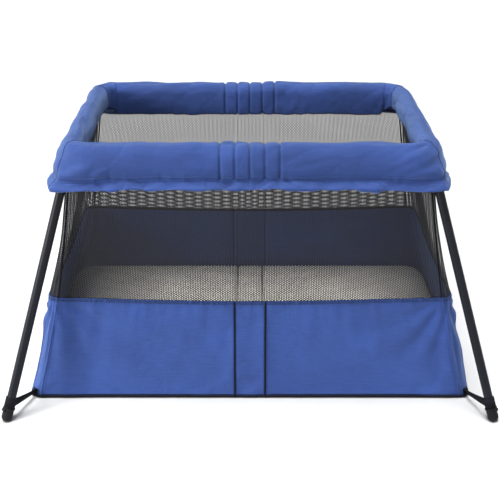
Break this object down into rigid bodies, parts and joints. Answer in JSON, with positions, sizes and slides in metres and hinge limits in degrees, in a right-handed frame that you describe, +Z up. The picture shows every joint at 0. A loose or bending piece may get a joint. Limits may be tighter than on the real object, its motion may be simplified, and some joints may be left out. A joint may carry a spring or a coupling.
{
  "type": "travel play yard",
  "caption": "Folding play yard: padded rail frame on splayed tube legs, mesh and cloth tub, foam mattress on the floor, foot straps at the corners.",
  "frame": {"origin": "on the floor under the middle of the yard", "axes": "+X along the long side to the viewer's right, +Y towards the back, +Z up"},
  "size_m": [1.1188, 0.808, 0.605],
  "materials": {
    "frame_paint": "satin",
    "fitting_plastic": "matte",
    "pin_steel": "satin",
    "rail_foam": "matte",
    "cover_cloth": "matte",
    "tub_cloth": "matte",
    "floor_cloth": "matte",
    "tub_mesh": "matte",
    "binding_tape": "matte",
    "webbing": "matte",
    "foot_plastic": "matte",
    "mattress_cloth": "matte"
  },
  "bodies": {
    "spine": {"rail_link_front": "frame_paint", "rail_link_back": "frame_paint", "link_end_fittings": "fitting_plastic", "rail_hinge_pins": "pin_steel", "lock_springs": "pin_steel", "rail_cover_centre": "cover_cloth", "mesh_wall_centre": "tub_mesh", "cloth_wall_centre": "tub_cloth", "bottom_binding_centre": "binding_tape", "floor_centre": "floor_cloth", "mattress_centre": "mattress_cloth"},
    "left_half": {"rail_tube_left": "frame_paint", "rail_end_fittings_left": "fitting_plastic", "rail_rivets_left": "pin_steel", "rail_foam_left": "rail_foam", "corner_bracket_front_left": "fitting_plastic", "corner_bracket_back_left": "fitting_plastic", "leg_pivot_pins_left": "pin_steel", "rail_cover_left": "cover_cloth", "mesh_wall_left": "tub_mesh", "cloth_wall_left": "tub_cloth", "bottom_binding_left": "binding_tape", "floor_left": "floor_cloth"},
    "right_half": {"rail_tube_right": "frame_paint", "rail_end_fittings_right": "fitting_plastic", "rail_rivets_right": "pin_steel", "rail_foam_right": "rail_foam", "corner_bracket_front_right": "fitting_plastic", "corner_bracket_back_right": "fitting_plastic", "leg_pivot_pins_right": "pin_steel", "rail_cover_right": "cover_cloth", "mesh_wall_right": "tub_mesh", "cloth_wall_right": "tub_cloth", "bottom_binding_right": "binding_tape", "floor_right": "floor_cloth"},
    "leg_front_left": {"leg_tube_front_left": "frame_paint", "leg_knuckle_front_left": "fitting_plastic", "foot_cap_front_left": "foot_plastic", "foot_strap_front_left": "webbing"},
    "leg_front_right": {"leg_tube_front_right": "frame_paint", "leg_knuckle_front_right": "fitting_plastic", "foot_cap_front_right": "foot_plastic", "foot_strap_front_right": "webbing"},
    "leg_back_left": {"leg_tube_back_left": "frame_paint", "leg_knuckle_back_left": "fitting_plastic", "foot_cap_back_left": "foot_plastic", "foot_strap_back_left": "webbing"},
    "leg_back_right": {"leg_tube_back_right": "frame_paint", "leg_knuckle_back_right": "fitting_plastic", "foot_cap_back_right": "foot_plastic", "foot_strap_back_right": "webbing"},
    "mattress_left_wing": {"mattress_left": "mattress_cloth"},
    "mattress_right_wing": {"mattress_right": "mattress_cloth"},
    "lock_front": {"lock_button_front": "fitting_plastic"},
    "lock_back": {"lock_button_back": "fitting_plastic"}
  },
  "joints": [
    {"name": "rail_fold_left", "type": "hinge", "parent": "spine", "child": "left_half", "pos_m": [-0.033, 0, 0.591], "axis": [0, 1, 0], "range_deg": [0, 90], "deforming": ["rail_cover_centre", "mesh_wall_centre", "cloth_wall_centre", "bottom_binding_centre", "floor_centre", "rail_cover_left", "mesh_wall_left", "cloth_wall_left", "bottom_binding_left", "floor_left", "mattress_left", "rail_cover_right", "mesh_wall_right", "cloth_wall_right", "bottom_binding_right", "floor_right", "mattress_right", "mattress_centre", "foot_strap_front_left", "foot_strap_front_right", "foot_strap_back_left", "foot_strap_back_right"]},
    {"name": "rail_fold_right", "type": "hinge", "parent": "spine", "child": "right_half", "pos_m": [0.033, 0, 0.591], "axis": [0, -1, 0], "range_deg": [0, 90]},
    {"name": "leg_fold_front_left", "type": "hinge", "parent": "left_half", "child": "leg_front_left", "pos_m": [-0.396, -0.221, 0.552], "axis": [0.7488, -0.6628, 0], "range_deg": [0, 112.6]},
    {"name": "leg_fold_front_right", "type": "hinge", "parent": "right_half", "child": "leg_front_right", "pos_m": [0.396, -0.221, 0.552], "axis": [0.7488, 0.6628, 0], "range_deg": [0, 105.4]},
    {"name": "leg_fold_back_left", "type": "hinge", "parent": "left_half", "child": "leg_back_left", "pos_m": [-0.396, 0.221, 0.552], "axis": [-0.7488, -0.6628, 0], "range_deg": [0, 105.4]},
    {"name": "leg_fold_back_right", "type": "hinge", "parent": "right_half", "child": "leg_back_right", "pos_m": [0.396, 0.221, 0.552], "axis": [-0.7488, 0.6628, 0], "range_deg": [0, 112.6]},
    {"name": "mattress_fold_left", "type": "hinge", "parent": "spine", "child": "mattress_left_wing", "pos_m": [-0.035, 0, 0.055], "axis": [0, 1, 0], "range_deg": [0, 90]},
    {"name": "mattress_fold_right", "type": "hinge", "parent": "spine", "child": "mattress_right_wing", "pos_m": [0.035, 0, 0.055], "axis": [0, -1, 0], "range_deg": [0, 90]},
    {"name": "lock_press_front", "type": "slide", "parent": "spine", "child": "lock_front", "axis": [0, 0, 1], "range_m": [0, 0.005], "stiffness_N_per_m": 600, "springref_m": -0.004, "deforming": ["lock_springs"]},
    {"name": "lock_press_back", "type": "slide", "parent": "spine", "child": "lock_back", "axis": [0, 0, 1], "range_m": [0, 0.005], "stiffness_N_per_m": 600, "springref_m": -0.004}
  ],
  "couplings": [
    {"joint": "rail_fold_right", "follows": "rail_fold_left", "ratio": 1},
    {"joint": "leg_fold_front_left", "follows": "rail_fold_left", "ratio": 1.25},
    {"joint": "leg_fold_front_right", "follows": "rail_fold_left", "ratio": 1.17},
    {"joint": "leg_fold_back_left", "follows": "rail_fold_left", "ratio": 1.17},
    {"joint": "leg_fold_back_right", "follows": "rail_fold_left", "ratio": 1.25},
    {"joint": "mattress_fold_left", "follows": "rail_fold_left", "ratio": 1},
    {"joint": "mattress_fold_right", "follows": "rail_fold_left", "ratio": 1}
  ]
}
